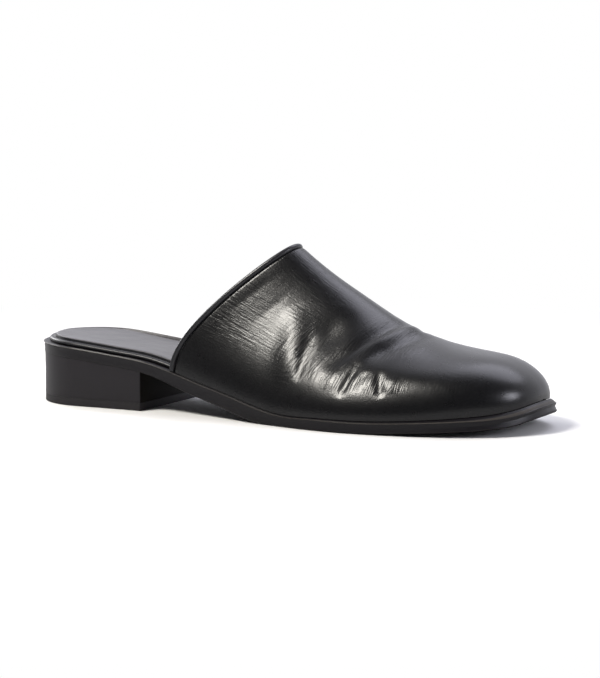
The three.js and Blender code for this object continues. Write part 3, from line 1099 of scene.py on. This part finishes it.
# %% Material: sole underside
# Matt, with paler scuffs a few centimetres long, and with pores that are drawn coarser than real to show.
sole_leather, tree, shader = new_material("rolled_sole_leather_dyed")
body = add_node(tree, "ShaderNodeTexCoord")
pores = add_node(
    tree,
    "ShaderNodeTexNoise",
    {"Vector": body.outputs["Object"], "Scale": cells(2.5), "Detail": 5.0, "Roughness": 0.65},
)
scuffs = add_node(
    tree,
    "ShaderNodeTexNoise",
    {"Vector": body.outputs["Object"], "Scale": cells(25.0), "Detail": 6.0, "Roughness": 0.7},
)
shade = add_node(
    tree,
    "ShaderNodeMix",
    {"Factor": scuffs.outputs["Fac"], 6: linear("#0F0D0C"), 7: linear("#211D1A")},
    data_type="RGBA",
)
tree.links.new(shade.outputs[2], shader.inputs["Base Color"])
bump = add_node(
    tree,
    "ShaderNodeBump",
    {"Height": pores.outputs["Fac"], "Strength": 0.3, "Distance": 0.1 * MM},
)
tree.links.new(bump.outputs["Normal"], shader.inputs["Normal"])
shader.inputs["Roughness"].default_value = 0.55
print("material:", sole_leather.name)

# %% [markdown]
# ## The sole
# A thin leather sole, cut with its edge a little proud of the upper. The edge is trimmed, inked black and
# ironed, and its upper corner, the brow, slopes away and shows the lighter leather as a thin line, which is
# also a painted highlight. At the toe the ironed edge is slightly hollow, and round the heel it stands a
# little proud. The edge changes along the shoe, so its profile is a set of functions of x instead of one
# bevel.

# %% Stack the sole
BROW_WIDTH = 0.85  # share of the ledge beside the upper
SLIGHT = 0.12
FRONT_BEVEL = 0.78
TOE_HOLLOW = 0.80
TOE_SET_BACK = 0.6
HEEL_FLARE = 0.8


def flare(x):
    """The edge stands a little proud round the back of the heel."""
    return HEEL_FLARE * falling(x, 4, 34)


def hollow(x):
    """How deep the ironed edge curves in: hardly at all, but more at the toe."""
    return SLIGHT + TOE_HOLLOW * rising(x, 215, LENGTH) - 0.6 * flare(x)


def upper_corner(x):
    """How far the upper corner of the edge stands in, at the toe."""
    return TOE_SET_BACK * rising(x, 225, LENGTH) - flare(x)


def bottom_bevel(x):
    """The lower corner is sharp over the heel, where it meets the block, and rounded in front."""
    return SLIGHT + FRONT_BEVEL * rising(x, HEEL_LENGTH, HEEL_LENGTH + 12) - 0.4 * flare(x)


def sole_levels(x):
    """(inset, height) of each outline of the sole, from its bottom edge up."""
    low = sole_bottom(x)
    high = sole_top(x)
    drop = side_brow(x / LENGTH)
    tall = high - drop - low
    # the brown share of the brow is also the width of its painted highlight line
    bare = 0.30 + 0.25 * rising(x, 238, 262)  # share of the brow that keeps its brown, more at the toe
    brow_end = BROW_WIDTH * ledge(x)
    slope = brow_end - upper_corner(x)
    return [
        (bottom_bevel(x), low),
        (0.33 * bottom_bevel(x) - 0.2 * flare(x), low + 0.15),
        (-0.4 * flare(x), low + 0.55),
        (0.5 * hollow(x), low + 0.28 * tall + 0.3),
        (hollow(x), low + 0.60 * tall + 0.15),
        (0.3 * hollow(x), low + 0.93 * tall),
        (upper_corner(x), high - drop),
        (upper_corner(x) + 0.06, high - drop * 0.93),
        (upper_corner(x) + slope * bare, high - drop * (0.93 - 0.9 * bare)),
        (brow_end * 0.97, high - drop * 0.03),
        (brow_end + 0.3, high),
        (brow_end + 3.0, high),
    ]


SOLE_RINGS = len(sole_levels(np.array([0.0])))
sole_points = []
for level in range(SOLE_RINGS):
    ring = whole_outline(lambda x: sole_levels(np.asarray(x, float))[level][0])
    z = sole_levels(ring[:, 0])[level][1]
    sole_points.append(np.column_stack([ring, z]))
sole_faces = stack_faces(SOLE_RINGS, 2 * OUTLINE_STEPS)
sole = make_piece("leather_sole", np.concatenate(sole_points), sole_faces, "outsole", 38)
for finish in (sole_leather, edge_ink, brow_leather_and_highlight):
    sole.data.materials.append(finish)
per_ring = 2 * OUTLINE_STEPS
finish_of_face = np.zeros(len(sole.data.polygons), np.int32)
# rings 6 to 8 take the brow's brown, which is partly a painted highlight
for first, past, finish in ((1, 6, 1), (6, 8, 2), (8, SOLE_RINGS - 1, 1)):
    finish_of_face[first * per_ring : past * per_ring] = finish
finish_of_face[(SOLE_RINGS - 1) * per_ring + OUTLINE_STEPS :] = 1
sole.data.polygons.foreach_set("material_index", finish_of_face)

# %% [markdown]
# ## Heel leathers
# The heel is a stack of leather lifts, sanded flush, inked and ironed, so the layers are hardly seen from
# the side. The breast, its front face, is sanded across and inked without ironing. It stays rough and
# brownish and drinks the light, and its near-black colour is partly painted shade, for the shade under
# the waist.

# %% Material: heel leather
# A smooth, warm black with short upright rubbing marks.
heel_ink, shader = plain_finish(
    "ironed_inked_heel_leather",
    (2.0, 2.0, 8.3),
    ("#151217", "#1E1A20"),
    roughness=0.48,
    tooth=(0.3, 0.08),
)

# %% Material: heel breast
# Raw inked leather has almost no gloss, so its specular level is far below the usual. Its near-black
# colour is partly painted shade, for the shade under the waist.
breast_leather_and_shade, shader = plain_finish(
    "blacked_raw_leather_breast_and_shade",
    (10.0, 10.0, 3.0),
    ("#060404", "#1A120B"),
    roughness=0.75,
    tooth=(0.4, 0.12),
)
shader.inputs["Specular IOR Level"].default_value = 0.2

# %% [markdown]
# ## Heel and top lift
# The heel is a low block with a straight breast, finished with the same ink as the sole so the two read
# as one. The top lift under it is a slice of moulded rubber that takes the wear. Both are stacks of the
# sole's own outline cut off at the breast. Their corners are small bevels of real faces, because an edge
# without one never catches a line of light and looks like paper.

# %% Stack the heel
def heel_piece(name, levels, stands_for):
    """A stack of the heel's outline. Each level is an inset and a height, which may change with x."""
    points = []
    for inset, height in levels:
        ring = heel_outline(lambda x: inset - 0.4 * flare(np.asarray(x, float)))
        points.append(np.column_stack([ring, height(ring[:, 0]) + 0 * ring[:, 0]]))
    faces = stack_faces(len(levels), len(points[0]))
    return make_piece(name, np.concatenate(points), faces, stands_for, 38)


HEEL_SET_IN = 0.3
GLUE_LINE = 0.05
heel_bottom = TOP_LIFT_THICKNESS + GLUE_LINE
heel = heel_piece(
    "heel_stack",
    [
        (HEEL_SET_IN + 0.08, lambda x: heel_bottom),
        (HEEL_SET_IN, lambda x: heel_bottom + 0.06),
        (HEEL_SET_IN - 0.05, lambda x: heel_bottom + 0.5),
        (HEEL_SET_IN + 0.08, lambda x: (heel_bottom + sole_bottom(x)) / 2),
        (HEEL_SET_IN - 0.05, lambda x: sole_bottom(x) - 0.5),
        (HEEL_SET_IN, lambda x: sole_bottom(x) - 0.10),
        (HEEL_SET_IN + 0.20, lambda x: sole_bottom(x) - 0.04),
    ],
    "heel_block",
)
heel.data.materials.append(heel_ink)
heel.data.materials.append(breast_leather_and_shade)
# the faces that look to the toe take the breast's near-black, partly painted shade under the waist
breast_shade_faces = [face.normal.x > 0.9 for face in heel.data.polygons]  # the faces that look to the toe
heel.data.polygons.foreach_set("material_index", np.array(breast_shade_faces, np.int32))

# %% [markdown]
# ## Rubber
# The top lift is moulded from black rubber with a fine matt stipple. Rubber holds more dust than inked
# leather and has no wax, so it is greyer and much rougher than the heel above it.

# %% Material: top lift rubber
# The stipple only takes the shine off. It is drawn at 0.9 mm, coarser than the mould's 0.3 mm, to show.
rubber, shader = plain_finish(
    "moulded_rubber_top_lift",
    (0.9, 0.9, 0.9),
    ("#1F1D20", "#2A282C"),
    roughness=0.68,
    tooth=(0.4, 0.08),
    detail=3.0,
    crumble=0.7,
)

# %% Stack the top lift
lift_piece = heel_piece(
    "rubber_top_lift",
    [
        (HEEL_SET_IN + 0.45, lambda x: 0.0),
        (HEEL_SET_IN + 0.10, lambda x: 0.12),
        (HEEL_SET_IN, lambda x: 0.45),
        (HEEL_SET_IN, lambda x: TOP_LIFT_THICKNESS - 0.3),
        (HEEL_SET_IN + 0.01, lambda x: TOP_LIFT_THICKNESS - 0.05),
        (HEEL_SET_IN + 0.08, lambda x: TOP_LIFT_THICKNESS),
    ],
    "top_lift",
)
lift_piece.data.materials.append(rubber)

# %% [markdown]
# ## Floor
# The shoe stands on a matt white floor with no horizon. Near the shoe the floor takes its soft shadow. From
# there it fades into plain white light, so that it meets the white room behind with no edge. A black shoe
# mirrors its floor along its low sides. In that mirror the floor is painted a mid grey while the camera
# sees it white, which is painted shade that keeps those sides dark.

# %% Floor
ROOM_WHITE = (1.0, 1.0, 1.0, 1.0)
FLOOR_SEEN = (0.86, 0.86, 0.86, 1.0)
# the floor's colour in the shoe's reflections: painted shade for its low sides
FLOOR_MIRRORED_SHADE = (0.45, 0.45, 0.45, 1.0)
FADE_FROM = 0.18
FADE_TO = 0.50
FLOOR_REACH = 6.0
floor_paint, tree, shader = new_material("matt_white_floor")
body = add_node(tree, "ShaderNodeTexCoord")
distance = add_node(tree, "ShaderNodeVectorMath", {0: body.outputs["Object"]}, operation="LENGTH")
far = add_node(
    tree,
    "ShaderNodeMapRange",
    {"Value": distance.outputs["Value"], "From Min": FADE_FROM, "From Max": FADE_TO},
    interpolation_type="SMOOTHSTEP",
)
glow = add_node(tree, "ShaderNodeEmission", {"Color": ROOM_WHITE, "Strength": 1.0})
rays = add_node(tree, "ShaderNodeLightPath")
# white for the camera, painted grey in reflections
paint = add_node(
    tree,
    "ShaderNodeMix",
    {0: rays.outputs["Is Camera Ray"], 6: FLOOR_MIRRORED_SHADE, 7: FLOOR_SEEN},
    data_type="RGBA",
)
blend = add_node(
    tree,
    "ShaderNodeMixShader",
    {0: far.outputs["Result"], 1: shader.outputs["BSDF"], 2: glow.outputs["Emission"]},
)
tree.links.new(paint.outputs[2], shader.inputs["Base Color"])
tree.links.new(blend.outputs["Shader"], tree.nodes["Material Output"].inputs["Surface"])
shader.inputs["Roughness"].default_value = 0.9
floor_mesh = bpy.data.meshes.new("floor")
floor_corners = [(FLOOR_REACH * x, FLOOR_REACH * y, 0) for x, y in ((-1, -1), (1, -1), (1, 1), (-1, 1))]
floor_mesh.from_pydata(floor_corners, [], [(0, 1, 2, 3)])
floor_mesh.materials.append(floor_paint)
floor = bpy.data.objects.new("floor", floor_mesh)
bpy.context.scene.collection.objects.link(floor)
print("floor:", [round(v, 1) for v in floor.dimensions])

# %% [markdown]
# ## Room
# A black shoe shows its room more than its own colour. The room is white behind and above, which lays the
# cool sheen along the ridge and the toe, and dim in front, which keeps the side that faces us dark. A
# gradient along the room's depth does this with no picture of a room. The white backdrop itself is only
# for the eye.

# %% Room light
world = bpy.data.worlds.new("studio")
bpy.context.scene.world = world
world.use_nodes = True
tree = world.node_tree
seen = tree.nodes["Background"]
seen.inputs["Color"].default_value = ROOM_WHITE
seen.inputs["Strength"].default_value = 1.0
direction = add_node(tree, "ShaderNodeTexCoord")
parts = add_node(tree, "ShaderNodeSeparateXYZ", {"Vector": direction.outputs["Generated"]})
behind = add_node(
    tree,
    "ShaderNodeMapRange",
    {"Value": parts.outputs["Y"], "From Min": -0.1, "From Max": 0.6, "To Min": 0.06, "To Max": 1.0},
    interpolation_type="SMOOTHSTEP",
)
lighting = add_node(
    tree,
    "ShaderNodeBackground",
    {"Color": (0.93, 0.93, 1.0, 1), "Strength": behind.outputs["Result"]},
)
rays = add_node(tree, "ShaderNodeLightPath")
choice = add_node(
    tree,
    "ShaderNodeMixShader",
    {0: rays.outputs["Is Camera Ray"], 1: lighting.outputs["Background"], 2: seen.outputs["Background"]},
)
tree.links.new(choice.outputs["Shader"], tree.nodes["World Output"].inputs["Surface"])
print("world:", world.name)

# %% [markdown]
# ## Lamps
# Four soft boxes. The key is high on the outer side towards the heel, and draws the patch on the vamp and
# the chain of lights over the folds. A small strip ahead of the toe puts one spot on it. A large window
# behind the heel and a wide box overhead light the insole, the topline and the far edges. A larger lamp
# gives a softer edge to its reflection, and its power is spread over its face, so size and power go
# together.

# %% Lamps
SHOE_MIDDLE = np.array([0.02, 0.0, 0.03])


def lamp(name, azimuth, elevation, distance, size, power, colour):
    """An oval soft box, sizes in metres, that looks at the shoe. Azimuth 0 is the outer side, 90 the toe."""
    a = math.radians(azimuth)
    e = math.radians(elevation)
    light = bpy.data.lights.new(name, "AREA")
    light.shape = "ELLIPSE"
    light.size = size[0]
    light.size_y = size[1]
    light.energy = power
    light.color = linear(colour)[:3]
    holder = bpy.data.objects.new(name, light)
    bpy.context.scene.collection.objects.link(holder)
    back = np.array([math.sin(a) * math.cos(e), -math.cos(a) * math.cos(e), math.sin(e)])
    holder.location = (SHOE_MIDDLE + back * distance).tolist()
    holder.rotation_mode = "QUATERNION"
    holder.rotation_quaternion = Vector(back).to_track_quat("Z", "Y")
    print(name, "at", [round(v, 2) for v in holder.location])


lamp("key_soft_box", -38, 53, 1.2, (0.46, 0.36), 15.0, "#FFFBF3")
lamp("toe_strip", 84, 22, 1.0, (0.26, 0.34), 2.4, "#F4F4FF")
lamp("window_behind", -112, 22, 1.5, (0.70, 0.60), 9.0, "#FFFFFF")
lamp("overhead_behind", 162, 58, 1.5, (1.30, 0.90), 7.0, "#F0F0FF")

# %% [markdown]
# ## Camera
# A long lens a little above the shoe, on its outer side and ahead of it, tilted down just enough to put the
# shoe in the middle. From further off with a longer lens, the toe doesn't swell towards us.

# %% Camera
camera_data = bpy.data.cameras.new("camera")
camera_data.lens = 130.0
camera_data.sensor_width = 36.0
camera_data.clip_start = 0.05
camera_data.clip_end = 30.0
CAMERA_AZIMUTH = math.radians(28.24)
CAMERA_DISTANCE = 1.1595
CAMERA_HEIGHT = 0.1749
camera = bpy.data.objects.new("camera", camera_data)
bpy.context.scene.collection.objects.link(camera)
camera.location = (
    math.sin(CAMERA_AZIMUTH) * CAMERA_DISTANCE,
    -math.cos(CAMERA_AZIMUTH) * CAMERA_DISTANCE,
    CAMERA_HEIGHT,
)
yaw = math.radians(27.95)
pitch = math.radians(6.86)
look = Vector((-math.sin(yaw), math.cos(yaw), -math.tan(pitch)))
camera.rotation_mode = "QUATERNION"
camera.rotation_quaternion = look.to_track_quat("-Z", "Y")
bpy.context.scene.camera = camera
bpy.context.scene.view_settings.view_transform = "Standard"
print("camera at", [round(v, 3) for v in camera.location])
